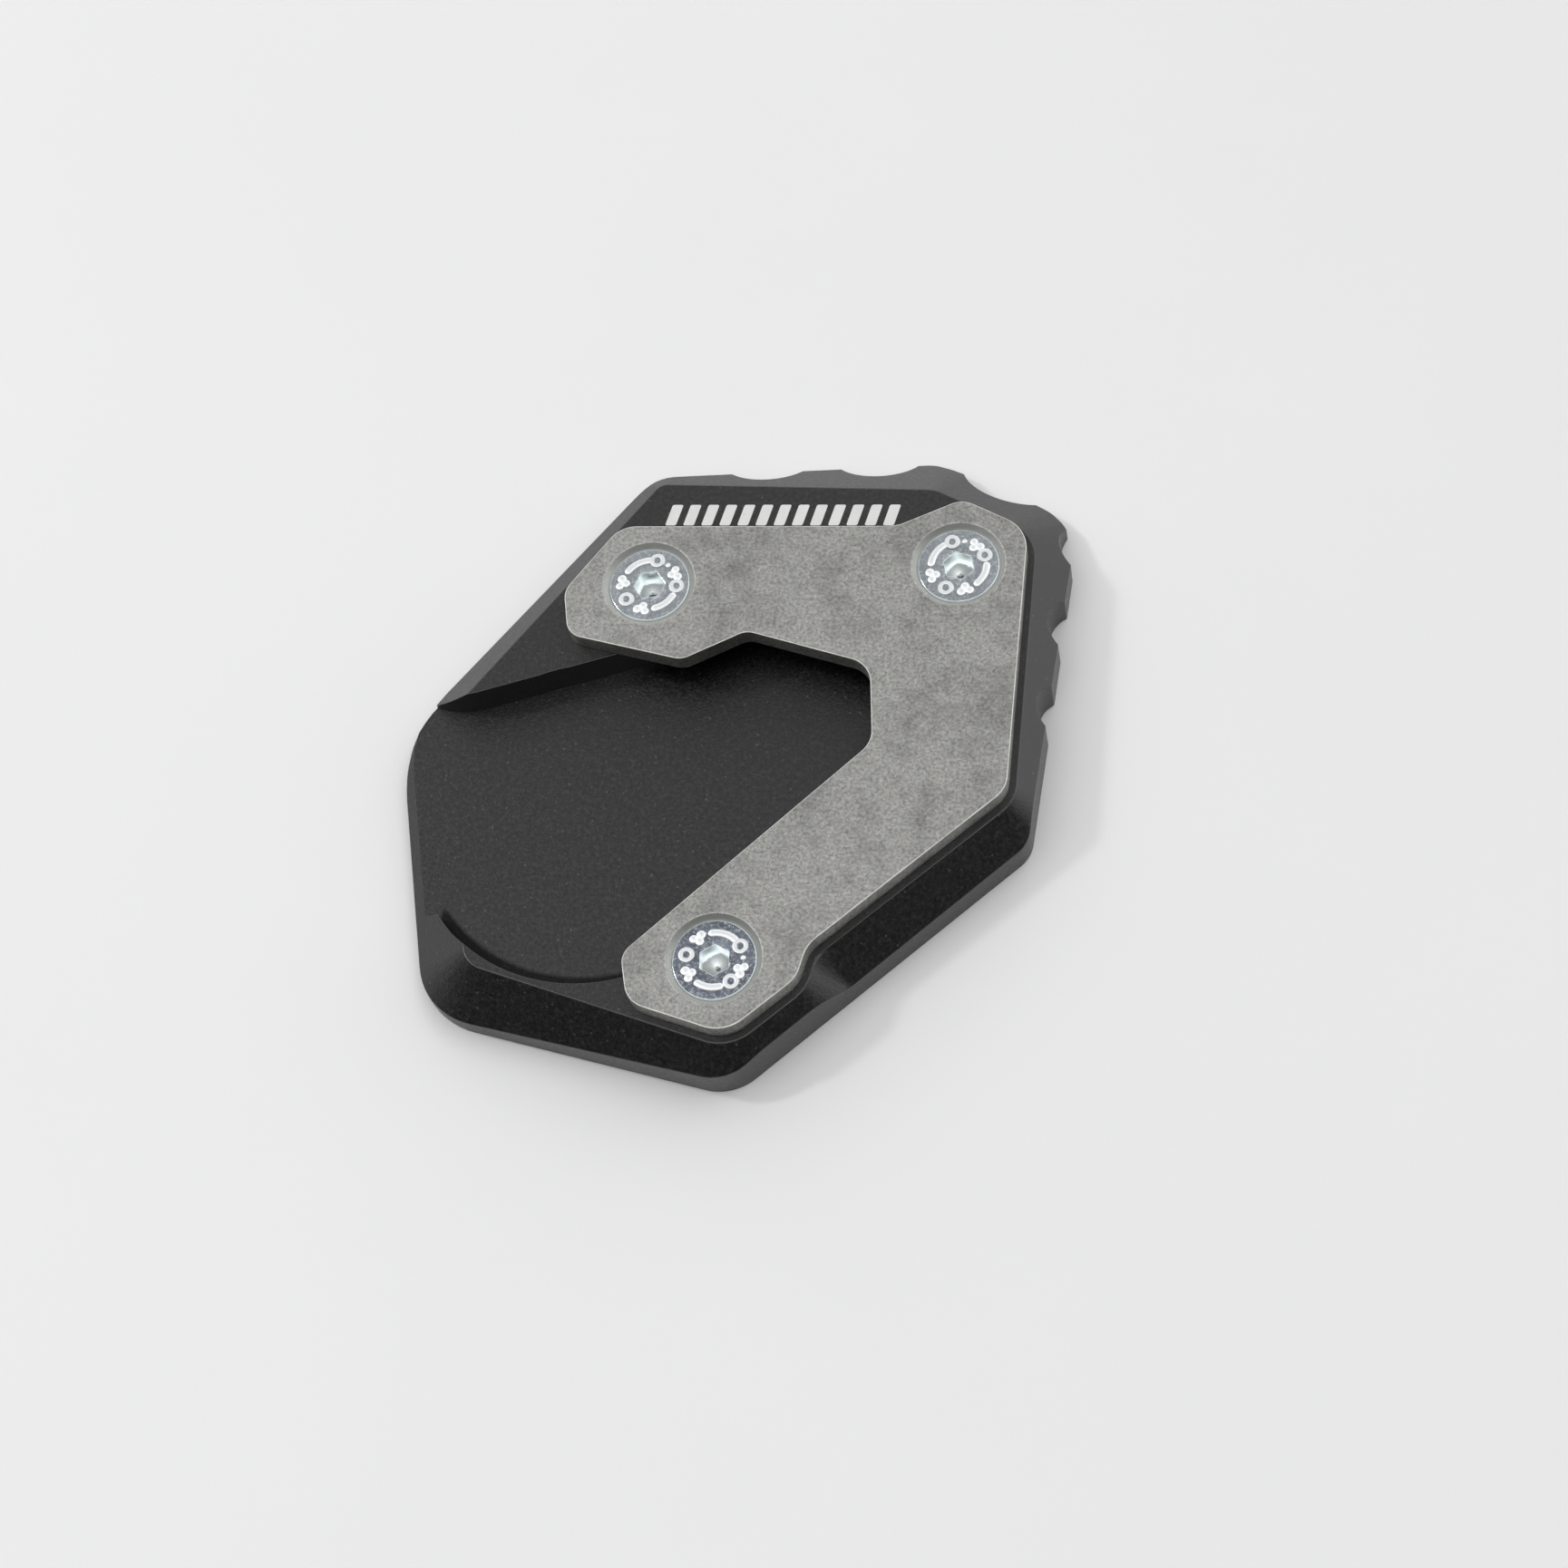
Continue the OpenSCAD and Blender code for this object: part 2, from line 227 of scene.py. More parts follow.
class Shader:
    """A material under construction: adds nodes and joins them."""

    def __init__(self, name):
        self.material = bpy.data.materials.new(name)
        self.material.use_nodes = True
        self.tree = self.material.node_tree
        self.surface = self.tree.nodes["Principled BSDF"]
        self.place = self.add("ShaderNodeTexCoord").outputs["Object"]

    def add(self, kind, **values):
        return add_node(self.tree, kind, **values)

    def join(self, start, end):
        self.tree.links.new(start, end)

    def group(self, make, **values):
        """Adds a shared node group, which its function makes when it is first needed."""
        n = self.add("ShaderNodeGroup")
        title = make.__name__.removesuffix("_group")
        n.node_tree = bpy.data.node_groups.get(title) or make()
        for name, value in values.items():
            feed(self.tree, n.inputs[name.replace("_", " ")], value)
        return n

    def mix(self, share, a, b):
        return mix_colour(self.tree, share, a, b)

    def maths(self, operation, a, b=None):
        return do_maths(self.tree, operation, a, b)

    def span(self, value, low, high):
        """Maps 0 to 1 onto low to high."""
        return map_span(self.tree, value, 0.0, 1.0, low, high)

    def bump(self, height, depth):
        n = self.add("ShaderNodeBump")
        n.inputs["Strength"].default_value = 1.0
        n.inputs["Distance"].default_value = depth
        self.join(height, n.inputs["Height"])
        return n.outputs["Normal"]


def add_node(tree, kind, **values):
    """Adds a node and sets its own values, or those of its sockets, by name."""
    n = tree.nodes.new(kind)
    for name, value in values.items():
        if hasattr(n, name):
            setattr(n, name, value)
        else:
            n.inputs[name.replace("_", " ")].default_value = value
    return n


def feed(tree, socket, value):
    """Joins a socket to another one, or writes a plain value on it."""
    if isinstance(value, bpy.types.NodeSocket):
        tree.links.new(value, socket)
    else:
        if socket.type == "RGBA" and len(value) == 3:
            value = (*value, 1.0)
        socket.default_value = value


def mix_colour(tree, share, a, b):
    n = add_node(tree, "ShaderNodeMix", data_type="RGBA")
    feed(tree, n.inputs["Factor"], share)
    colours = [s for s in n.inputs if s.type == "RGBA"]
    feed(tree, colours[0], a)
    feed(tree, colours[1], b)
    return [s for s in n.outputs if s.type == "RGBA"][0]


def do_maths(tree, operation, a, b=None):
    n = add_node(tree, "ShaderNodeMath", operation=operation)
    feed(tree, n.inputs[0], a)
    if b is not None:
        feed(tree, n.inputs[1], b)
    return n.outputs[0]


def map_span(tree, value, from_low, from_high, low, high, curve="LINEAR"):
    """Maps one span onto another, with nothing past its ends."""
    n = add_node(tree, "ShaderNodeMapRange", interpolation_type=curve)
    for socket, v in zip(n.inputs[:5], (value, from_low, from_high, low, high)):
        feed(tree, socket, v)
    return n.outputs["Result"]


def new_group(name, inputs, outputs):
    """An empty node group that takes a place and named values, and its inner ends."""
    tree = bpy.data.node_groups.new(name, "ShaderNodeTree")
    for socket, value in {"Place": (0.0, 0.0, 0.0), **inputs}.items():
        kind = "NodeSocketVector" if isinstance(value, tuple) else "NodeSocketFloat"
        s = tree.interface.new_socket(socket, in_out="INPUT", socket_type=kind)
        s.default_value = value
    for socket in outputs:
        tree.interface.new_socket(socket, in_out="OUTPUT", socket_type="NodeSocketFloat")
    inside = tree.nodes.new("NodeGroupInput")
    outside = tree.nodes.new("NodeGroupOutput")
    return tree, inside.outputs, outside.inputs


def scaled(tree, place, size):
    """The place divided by a size, so that noise of scale 1 has features of about that size."""
    n = add_node(tree, "ShaderNodeVectorMath", operation="SCALE")
    feed(tree, n.inputs[0], place)
    feed(tree, n.inputs["Scale"], do_maths(tree, "DIVIDE", 1.0, size))
    return n.outputs[0]


def noise(tree, place, detail, roughness):
    n = add_node(tree, "ShaderNodeTexNoise")
    n.inputs["Scale"].default_value = 1.0
    n.inputs["Detail"].default_value = detail
    n.inputs["Roughness"].default_value = roughness
    feed(tree, n.inputs["Vector"], place)
    return n.outputs[0]


def fine_grain_group():
    """Fine grain of a blasted or tumbled surface: shade and height, and rare light specks."""
    tree, given, out = new_group(
        "fine_grain",
        {"Grain size": 0.0002, "Speck size": 0.0006, "Speck share": 0.02},
        ("Shade", "Height", "Specks"),
    )
    grain = noise(tree, scaled(tree, given["Place"], given["Grain size"]), 3.0, 0.62)
    tree.links.new(map_span(tree, grain, 0.3, 0.7, 0.0, 1.0), out["Shade"])
    tree.links.new(grain, out["Height"])
    cells = add_node(tree, "ShaderNodeTexVoronoi")
    cells.inputs["Scale"].default_value = 1.0
    feed(tree, cells.inputs["Vector"], scaled(tree, given["Place"], given["Speck size"]))
    pick_cell = add_node(tree, "ShaderNodeSeparateColor")
    tree.links.new(cells.outputs["Color"], pick_cell.inputs[0])
    chosen = do_maths(tree, "LESS_THAN", pick_cell.outputs[0], given["Speck share"])
    radius = map_span(tree, pick_cell.outputs[1], 0.0, 1.0, 0.06, 0.24)
    near = do_maths(tree, "LESS_THAN", cells.outputs["Distance"], radius)
    tree.links.new(do_maths(tree, "MULTIPLY", chosen, near), out["Specks"])
    return tree


def mottle_group():
    """Uneven tone in two sizes, as acid or tumbling leaves on steel."""
    tree, given, out = new_group(
        "mottle",
        {"Cloud size": 0.006, "Fleck size": 0.0009},
        ("Clouds", "Flecks"),
    )
    clouds = noise(tree, scaled(tree, given["Place"], given["Cloud size"]), 5.0, 0.6)
    flecks = noise(tree, scaled(tree, given["Place"], given["Fleck size"]), 6.0, 0.8)
    tree.links.new(map_span(tree, clouds, 0.3, 0.7, 0.0, 1.0), out["Clouds"])
    tree.links.new(map_span(tree, flecks, 0.28, 0.72, 0.0, 1.0), out["Flecks"])
    return tree


def edge_wear_group():
    """Where a broken edge is rubbed bright: its marked faces, in uneven lengths."""
    tree, given, out = new_group(
        "edge_wear",
        {"Edge": 0.0, "Patch size": 0.004, "Least": 0.3},
        ("Wear",),
    )
    patches = noise(tree, scaled(tree, given["Place"], given["Patch size"]), 4.0, 0.7)
    share = map_span(tree, patches, 0.35, 0.65, given["Least"], 1.0)
    tree.links.new(do_maths(tree, "MULTIPLY", share, given["Edge"]), out["Wear"])
    return tree


def mark_value(shader, layer):
    """The value that a named layer has on each face."""
    n = shader.add("ShaderNodeAttribute", attribute_name=layer)
    return n.outputs["Fac"]


def painted_wall_shadow_group():
    """The painted shadow on the pocket's floor along the foot of its round wall: a darker margin.

    It lies between the wall's circle and the same circle moved inwards, from the open side on.
    """
    tree, given, out = new_group(
        "painted_wall_shadow",
        {
            "Wall centre": (-0.01753, -0.01355, 0.0),
            "Shade centre": (-0.01807, -0.01052, 0.0),
            "Wall radius": 0.0246,
            "Floor": 0.0035,
        },
        ("Shade",),
    )
    level = add_node(tree, "ShaderNodeVectorMath", operation="MULTIPLY")
    feed(tree, level.inputs[0], given["Place"])
    feed(tree, level.inputs[1], (1.0, 1.0, 0.0))
    parts = add_node(tree, "ShaderNodeSeparateXYZ")
    feed(tree, parts.inputs[0], given["Place"])

    def away(centre, low, high, first, last):
        """Maps how far a place lies outside the wall's circle round a centre."""
        n = add_node(tree, "ShaderNodeVectorMath", operation="DISTANCE")
        feed(tree, n.inputs[0], level.outputs[0])
        feed(tree, n.inputs[1], centre)
        past = do_maths(tree, "SUBTRACT", n.outputs["Value"], given["Wall radius"])
        return map_span(tree, past, low, high, first, last)

    off_floor = do_maths(tree, "SUBTRACT", parts.outputs["Z"], given["Floor"])
    off_floor = do_maths(tree, "ABSOLUTE", off_floor)
    open_side = (-38.4 * MM, -37.8 * MM)
    wall_end = (-26.6 * MM, -25.0 * MM)
    # painted shadow: the margin is the wall's circle moved the way a cast shadow would fall
    share = away(given["Shade centre"], -0.3 * MM, 0.3 * MM, 0.0, 1.0)
    for other in (
        away(given["Wall centre"], 0.05 * MM, 0.1 * MM, 1.0, 0.0),
        map_span(tree, off_floor, 0.1 * MM, 0.3 * MM, 1.0, 0.0),
        map_span(tree, parts.outputs["X"], *open_side, 0.0, 1.0),
        map_span(tree, parts.outputs["Y"], *wall_end, 1.0, 0.0),
    ):
        share = do_maths(tree, "MULTIPLY", share, other)
    tree.links.new(share, out["Shade"])
    return tree


def anodised_black(look):
    """Matt black anodised aluminium over a fine blasted grain, greyer on its broken edges, with a
    painted shadow on the pocket's floor along its round wall.
    """
    s = Shader("anodised_black")
    grain = s.group(
        fine_grain_group,
        Place=s.place,
        Grain_size=look.grain_size,
        Speck_size=0.0008,
        Speck_share=0.2,
    )
    tone = s.group(mottle_group, Place=s.place, Cloud_size=0.011, Fleck_size=0.0006)
    wear = s.group(
        edge_wear_group,
        Place=s.place,
        Edge=mark_value(s, "broken_edge"),
        Patch_size=0.005,
        Least=0.35,
    )
    flecks = tone.outputs["Flecks"]
    body = s.mix(s.span(flecks, -1.1, 0.95), BLACK, times(look.colour, 6.5))
    body = s.mix(s.span(tone.outputs["Clouds"], 0.0, 0.3), body, look.colour)
    body = s.mix(s.maths("MULTIPLY", grain.outputs["Specks"], 0.55), body, LIGHT_SPECK)
    body = s.mix(wear.outputs["Wear"], body, look.edge_colour)
    # painted shadow along the pocket's round wall: darker colour and less gloss on the floor
    # there
    shade = s.group(painted_wall_shadow_group, Place=s.place).outputs["Shade"]
    body = s.mix(s.maths("MULTIPLY", shade, 0.7), body, BLACK)
    s.join(body, s.surface.inputs["Base Color"])
    s.join(s.span(shade, 0.5, 0.14), s.surface.inputs["Specular IOR Level"])
    rough = s.span(flecks, look.roughness - 0.11, look.roughness + 0.11)
    s.join(rough, s.surface.inputs["Roughness"])
    s.join(s.bump(grain.outputs["Height"], depth=0.00004), s.surface.inputs["Normal"])
    s.surface.inputs["IOR"].default_value = COAT_IOR
    return s.material


def tumbled_steel(look):
    """Grey tumbled steel: mottled and stained, with dark pits and paler turned cones."""
    s = Shader("tumbled_steel")
    grain = s.group(
        fine_grain_group,
        Place=s.place,
        Grain_size=look.grain_size,
        Speck_size=0.001,
        Speck_share=0.3,
    )
    tone = s.group(mottle_group, Place=s.place, Cloud_size=0.008, Fleck_size=0.0005)
    wear = s.group(
        edge_wear_group,
        Place=s.place,
        Edge=mark_value(s, "broken_edge"),
        Patch_size=0.006,
        Least=0.5,
    )
    blotch = s.group(mottle_group, Place=s.place, Cloud_size=0.0024, Fleck_size=0.0011)
    flecks = tone.outputs["Flecks"]
    plain = s.mix(flecks, times(look.colour, 0.34), times(look.colour, 1.64))
    stained = s.mix(flecks, times(look.colour, 0.22), times(look.colour, 0.95))
    stain = s.maths(
        "ADD",
        s.span(tone.outputs["Clouds"], -0.4, 0.6),
        s.span(blotch.outputs["Clouds"], -0.25, 0.42),
    )
    body = s.mix(stain, plain, stained)
    body = s.mix(s.maths("MULTIPLY", grain.outputs["Specks"], 0.35), body, DARK_PIT)
    body = s.mix(mark_value(s, "turned_cone"), body, look.cone_colour)
    body = s.mix(wear.outputs["Wear"], body, look.edge_colour)
    s.join(body, s.surface.inputs["Base Color"])
    s.surface.inputs["Metallic"].default_value = 1.0
    rough = s.span(flecks, look.roughness + 0.08, look.roughness - 0.08)
    s.join(rough, s.surface.inputs["Roughness"])
    s.join(s.bump(grain.outputs["Height"], depth=0.00001), s.surface.inputs["Normal"])
    return s.material


def zinc_plate(look):
    """Bright zinc: a darker speckled flat top, whiter raised marks and a glossy socket."""
    s = Shader("zinc_plate")
    grain = s.group(
        fine_grain_group,
        Place=s.place,
        Grain_size=0.00022,
        Speck_size=0.0004,
        Speck_share=0.42,
    )
    tone = s.group(mottle_group, Place=s.place, Cloud_size=0.0022, Fleck_size=0.0005)
    clouds = tone.outputs["Clouds"]
    face = s.mix(clouds, times(look.face_colour, 0.65), times(look.face_colour, 1.35))
    face = s.mix(s.span(tone.outputs["Flecks"], -1.3, 1.25), face, look.mark_colour)
    face = s.mix(grain.outputs["Specks"], face, look.mark_colour)
    body = s.mix(s.span(clouds, 0.2, 0.0), look.colour, look.face_colour)
    flat = mark_value(s, "flat_top")
    marks = mark_value(s, "raised_mark")
    # the flat_top mark is below 1 on the upper two heads, so their tops are painted lighter
    body = s.mix(flat, body, face)
    body = s.mix(s.maths("MULTIPLY", marks, 0.9), body, look.mark_colour)
    s.join(body, s.surface.inputs["Base Color"])
    s.surface.inputs["Metallic"].default_value = 1.0
    top = s.maths("GREATER_THAN", s.maths("ADD", flat, marks), 0.05)
    dull = s.maths("MULTIPLY", top, look.roughness)
    dull = s.maths("ADD", dull, s.maths("MULTIPLY", marks, 0.14))
    rough = s.maths("ADD", dull, s.span(grain.outputs["Shade"], 0.1, 0.18))
    s.join(rough, s.surface.inputs["Roughness"])
    s.join(s.bump(grain.outputs["Height"], depth=0.000006), s.surface.inputs["Normal"])
    return s.material


def white_ink(look):
    """White printed ink, a little thin and uneven over the blasted grain."""
    s = Shader("white_ink")
    grain = s.group(
        fine_grain_group,
        Place=s.place,
        Grain_size=0.0003,
        Speck_size=0.0007,
        Speck_share=0.05,
    )
    tone = s.group(mottle_group, Place=s.place, Cloud_size=0.003, Fleck_size=0.0005)
    body = s.mix(tone.outputs["Clouds"], times(look.colour, 0.9), look.colour)
    body = s.mix(s.maths("MULTIPLY", grain.outputs["Specks"], 0.5), body, THIN_INK)
    s.join(body, s.surface.inputs["Base Color"])
    rough = s.span(grain.outputs["Shade"], 0.42, 0.6)
    s.join(rough, s.surface.inputs["Roughness"])
    s.join(s.bump(grain.outputs["Height"], depth=0.00001), s.surface.inputs["Normal"])
    return s.material


# Sizes and colours


def a_length(title, says, default, least, most):
    """A length that can be set, with its default and its limits in metres."""
    return bpy.props.FloatProperty(
        name=title, description=says, default=default, min=least, max=most,
        subtype="DISTANCE", unit="LENGTH",
    )


def a_colour(title, says, default):
    """A colour that can be set."""
    return bpy.props.FloatVectorProperty(
        name=title, description=says, default=default, min=0.0, max=1.0,
        subtype="COLOR", size=3,
    )


class BaseFinish(bpy.types.PropertyGroup):
    """Black base plate."""

    colour: a_colour("Colour", "Anodised black", (0.0042, 0.0039, 0.0039))
    edge_colour: a_colour("Edge colour", "Grey of the broken edges", (0.022, 0.022, 0.023))
    roughness: bpy.props.FloatProperty(
        name="Roughness", description="How matt the black is", default=0.36, min=0.1, max=1.0,
    )
    grain_size: a_length("Grain size", "Size of the blasted grain", 0.00036, 0.0001, 0.002)
    edge_width: a_length("Edge width", "Width of the broken edges", 0.00013, 0.00005, 0.0004)
    pocket_floor: a_length(
        "Pocket floor", "Height of the pocket's floor, whose edge stays sharp",
        0.0035, 0.0, 0.009,
    )


class ClampFinish(bpy.types.PropertyGroup):
    """Grey clamp plate."""

    colour: a_colour("Colour", "Tumbled steel", (0.40, 0.397, 0.382))
    edge_colour: a_colour("Edge colour", "Rubbed rim", (0.80, 0.795, 0.77))
    roughness: bpy.props.FloatProperty(
        name="Roughness", description="How matt the steel is", default=0.56, min=0.1, max=1.0,
    )
    cone_colour: a_colour("Cone colour", "Turned countersinks", (0.50, 0.508, 0.485))
    grain_size: a_length("Grain size", "Size of the tumbled grain", 0.00024, 0.0001, 0.002)
    edge_width: a_length("Edge width", "Width of the rounded rim", 0.00015, 0.00005, 0.0004)


class ScrewDetail(bpy.types.PropertyGroup):
    """Countersunk screws."""

    colour: a_colour("Colour", "Zinc plating", (0.88, 0.94, 0.94))
    face_colour: a_colour("Face colour", "Flat top of the head", (0.23, 0.26, 0.32))
    mark_colour: a_colour("Mark colour", "Raised marks", (0.93, 0.95, 0.96))
    roughness: bpy.props.FloatProperty(
        name="Roughness", description="How much duller the top is than the socket",
        default=0.18, min=0.05, max=1.0,
    )
    pitch: a_length("Thread pitch", "Rise of the thread in one turn", 0.001, 0.0005, 0.0015)
    thread_depth: a_length("Thread depth", "From crest to root", 0.0006, 0.0003, 0.0008)
    mark_height: a_length(
        "Mark height", "How far the marks stand up", 0.0002, 0.00005, 0.0003,
    )
    mark_width: a_length("Mark width", "Width of the bars", 0.0011, 0.0003, 0.0012)
    mark_radius: a_length(
        "Mark radius", "From the middle of the head to the ring of marks",
        0.00398, 0.003, 0.0045,
    )
    shank_radius: a_length(
        "Shank radius", "Outside radius of the thread", 0.00295, 0.002, 0.003,
    )
    head_rim: a_length(
        "Head rim", "Height of the straight rim of the head", 0.0003, 0.0001, 0.0006,
    )
    head_bevel: a_length(
        "Head bevel", "Bevel round the top of the head", 0.00015, 0.00005, 0.0003,
    )
    socket_width: a_length(
        "Socket width", "Hexagon socket, across its flats", 0.004, 0.003, 0.005,
    )
    socket_depth: a_length(
        "Socket depth", "Straight sides of the socket", 0.002, 0.001, 0.0025,
    )
    socket_point: a_length(
        "Socket point", "Radius of the drill point under the socket", 0.0018, 0.0005, 0.0019,
    )
    tip_bevel: a_length(
        "Tip bevel", "Bevel round the tip of the thread", 0.0008, 0.0003, 0.001,
    )


class PrintedBars(bpy.types.PropertyGroup):
    """Row of plain white bars on the flat top."""

    colour: a_colour("Colour", "White ink", (0.8, 0.8, 0.79))
    start: bpy.props.FloatVectorProperty(
        name="Start", description="Lower left corner of the first bar", size=2,
        default=(-0.01225, 0.03395), subtype="XYZ", unit="LENGTH",
    )
    bars: bpy.props.IntProperty(
        name="Bars", description="How many bars", default=13, min=1, max=40,
    )
    length: a_length("Length", "Length of the whole row", 0.0345, 0.005, 0.04)
    bar_width: a_length("Bar width", "Width of one bar", 0.0016, 0.0003, 0.004)
    bar_height: a_length("Bar height", "Height of one bar", 0.00345, 0.001, 0.005)
    ink: a_length("Ink thickness", "Thickness of the ink", 0.00003, 0.00001, 0.0001)
    row_angle: bpy.props.FloatProperty(
        name="Row angle", description="Turn of the row", default=math.radians(1.4),
        subtype="ANGLE", unit="ROTATION",
    )
    slant: bpy.props.FloatProperty(
        name="Slant", description="Lean of the bars", default=math.radians(14),
        subtype="ANGLE", unit="ROTATION",
    )


class StudioLook(bpy.types.PropertyGroup):
    """Floor, lamps and camera."""

    floor_colour: a_colour("Floor colour", "Pale table", (0.92, 0.92, 0.922))
    floor_size: a_length("Floor size", "Side of the floor", 4.0, 0.5, 20.0)
    key: bpy.props.FloatProperty(
        name="Key light", description="Small soft lamp on the left", default=2.3,
        min=0.0, max=100.0, subtype="POWER", unit="POWER",
    )
    key_from: bpy.props.FloatVectorProperty(
        name="Key from", description="Direction that the key light comes from", size=3,
        default=(-0.69, 0.12, 0.71), subtype="DIRECTION",
    )
    key_size: a_length("Key size", "Side of the key light", 0.10, 0.01, 2.0)
    world: bpy.props.FloatProperty(
        name="All round", description="Even light from all round", default=0.03, min=0.0, max=2.0,
    )
    overhead: bpy.props.FloatProperty(
        name="Overhead", description="Wide ring of light above", default=1.7, min=0.0, max=5.0,
    )
    overhead_gap: bpy.props.FloatProperty(
        name="Overhead gap", description="Share of the light that is missing inside the ring",
        default=0.80, min=0.0, max=1.0,
    )
    behind: bpy.props.FloatProperty(
        name="Behind", description="Extra light from behind the plate, low", default=0.6,
        min=0.0, max=5.0,
    )
    right: bpy.props.FloatProperty(
        name="Right", description="Extra light from the right, low", default=1.2,
        min=0.0, max=5.0,
    )
    left: bpy.props.FloatProperty(
        name="Left", description="Extra light from behind on the left", default=0.25,
        min=0.0, max=5.0,
    )
    eye: bpy.props.FloatVectorProperty(
        name="Camera place", description="Where the camera stands", size=3,
        default=(0.08618, -0.19300, 0.40927), subtype="XYZ", unit="LENGTH",
    )
    look_at: bpy.props.FloatVectorProperty(
        name="Look at", description="Point in the middle of the picture", size=3,
        default=(0.01026, -0.00835, 0.012), subtype="XYZ", unit="LENGTH",
    )
    roll: bpy.props.FloatProperty(
        name="Roll", description="Turn of the camera about its line of sight",
        default=math.radians(-18.17), subtype="ANGLE", unit="ROTATION",
    )
    lens: bpy.props.FloatProperty(
        name="Lens", description="Focal length on a 36 mm wide sensor, in millimetres",
        default=73.73, min=20.0, max=200.0,
    )


# Pieces


class ENLARGER_OT_base_plate(bpy.types.Operator):
    """Black base plate with broken edges, in place of the plain solid"""

    bl_idname = "enlarger.base_plate"
    bl_label = "Base plate"

    def execute(self, context):
        look = context.scene.enlarger_base
        piece = node_copy("base_plate", "base_plate_body", weld=0.03 * MM)
        floor = look.pocket_floor
        break_edges(
            piece, look.edge_width, 24.0,
            lambda e: any(abs(v.co.z - floor) > 0.05 * MM for v in e.verts),
        )
        done(piece)
        put_on(piece, "base_plate", anodised_black(look))
        return {"FINISHED"}


class ENLARGER_OT_clamp_plate(bpy.types.Operator):
    """Grey clamp plate with a rounded rim, in place of the plain solid"""

    bl_idname = "enlarger.clamp_plate"
    bl_label = "Clamp plate"

    def execute(self, context):
        look = context.scene.enlarger_clamp
        piece = node_copy("clamp_plate", "clamp_plate_body")
        break_edges(piece, look.edge_width, 35.0)
        centres = [screw_centre(node) for node in SCREW_NODES]

        def near_screw(f, distance):
            return min((f.center - c).xy.length for c in centres) < distance

        mark_faces(
            piece, "turned_cone",
            lambda f: 0.6 < f.normal.z < 0.8 and near_screw(f, 6.6 * MM),
        )
        # the rims of the countersinks are rubbed less than the outer rim
        mark_faces(piece, "broken_edge", lambda f: near_screw(f, 7.2 * MM), 0.25, within=True)
        done(piece)
        put_on(piece, "clamp_plate", tumbled_steel(look))
        return {"FINISHED"}


# Marks round a head: kind, direction in degrees, length along the ring in degrees
HEAD_MARKS = (
    ("bar", 76.0, 50.0),
    ("ring", 33.0, 0.0),
    ("dot", 7.0, 0.0),
    ("trio", 341.0, 0.0),
    ("ring", 311.0, 0.0),
    ("bar", 264.0, 46.0),
    ("trio", 213.0, 0.0),
    ("ring", 172.0, 0.0),
    ("trio", 130.0, 0.0),
)
# Turn of each head's marks, in degrees
SCREW_TURN = {"screw_left": 47.0, "screw_right": 75.0, "screw_lower": 0.0}
# How much of the darker face colour each head's top has: the upper two heads get less of it, a
# painted light that makes their tops lighter
FACE_SHARE_WITH_PAINTED_LIGHT = {"screw_left": 0.6, "screw_right": 0.65, "screw_lower": 1.0}
# Turn of each head's socket, in degrees
SOCKET_TURN = {"screw_left": -21.0, "screw_right": 15.0, "screw_lower": 4.0}


def trace(points, name):
    """Draws a line through points, one vertex extruded after the other."""
    clear_selection()
    bpy.ops.mesh.primitive_plane_add(size=0.001, location=points[0])
    piece = bpy.context.object
    piece.name = name
    keep_place()
    edit(piece)
    bpy.ops.mesh.select_mode(type="VERT")
    bpy.ops.mesh.merge(type="CENTER")
    for a, b in zip(points, points[1:]):
        bpy.ops.mesh.extrude_region_move(TRANSFORM_OT_translate={"value": Vector(b) - Vector(a)})
    bpy.ops.object.mode_set(mode="OBJECT")
    return piece


def cut_flat(piece, height, keep_above):
    """Cuts a piece level at a height and closes the cut."""
    edit(piece)
    bpy.ops.mesh.bisect(
        plane_co=(0.0, 0.0, height),
        plane_no=(0.0, 0.0, 1.0),
        use_fill=True,
        clear_inner=keep_above,
        clear_outer=not keep_above,
        threshold=SAME_POINT,
    )
    bpy.ops.object.mode_set(mode="OBJECT")


def threaded_rod(centre, low, high, radius, look):
    """A right-hand thread of standard form between two heights, closed at both ends."""
    pitch = look.pitch
    root = radius - look.thread_depth
    turns = math.ceil((high - low) / pitch) + 2
    # a little over one turn below, so that no vertex lies in the level of a cut
    start = low - pitch * 1.013
    # root, flank, crest and flank, at shares of the pitch
    tooth = (
        (root, 0.0, start),
        (root, 0.0, start + pitch * 0.24),
        (radius, 0.0, start + pitch * 0.55),
        (radius, 0.0, start + pitch * 0.69),
        (root, 0.0, start + pitch),
    )
    rod = trace(tooth, "rod")
    pick(rod)
    wind = rod.modifiers.new("wind", "SCREW")
    wind.axis = "Z"
    wind.angle = math.tau
    wind.screw_offset = pitch
    wind.iterations = turns
    wind.steps = wind.render_steps = 40
    wind.use_merge_vertices = True
    wind.merge_threshold = SAME_POINT
    bpy.ops.object.modifier_apply(modifier=wind.name)
    edit(rod)
    bpy.ops.mesh.remove_doubles(threshold=1e-6)
    bpy.ops.mesh.normals_make_consistent(inside=False)
    bpy.ops.object.mode_set(mode="OBJECT")
    cut_flat(rod, low, True)
    cut_flat(rod, high, False)
    outward(rod)
    rod.location = (centre.x, centre.y, 0.0)
    keep_place()
    return rod


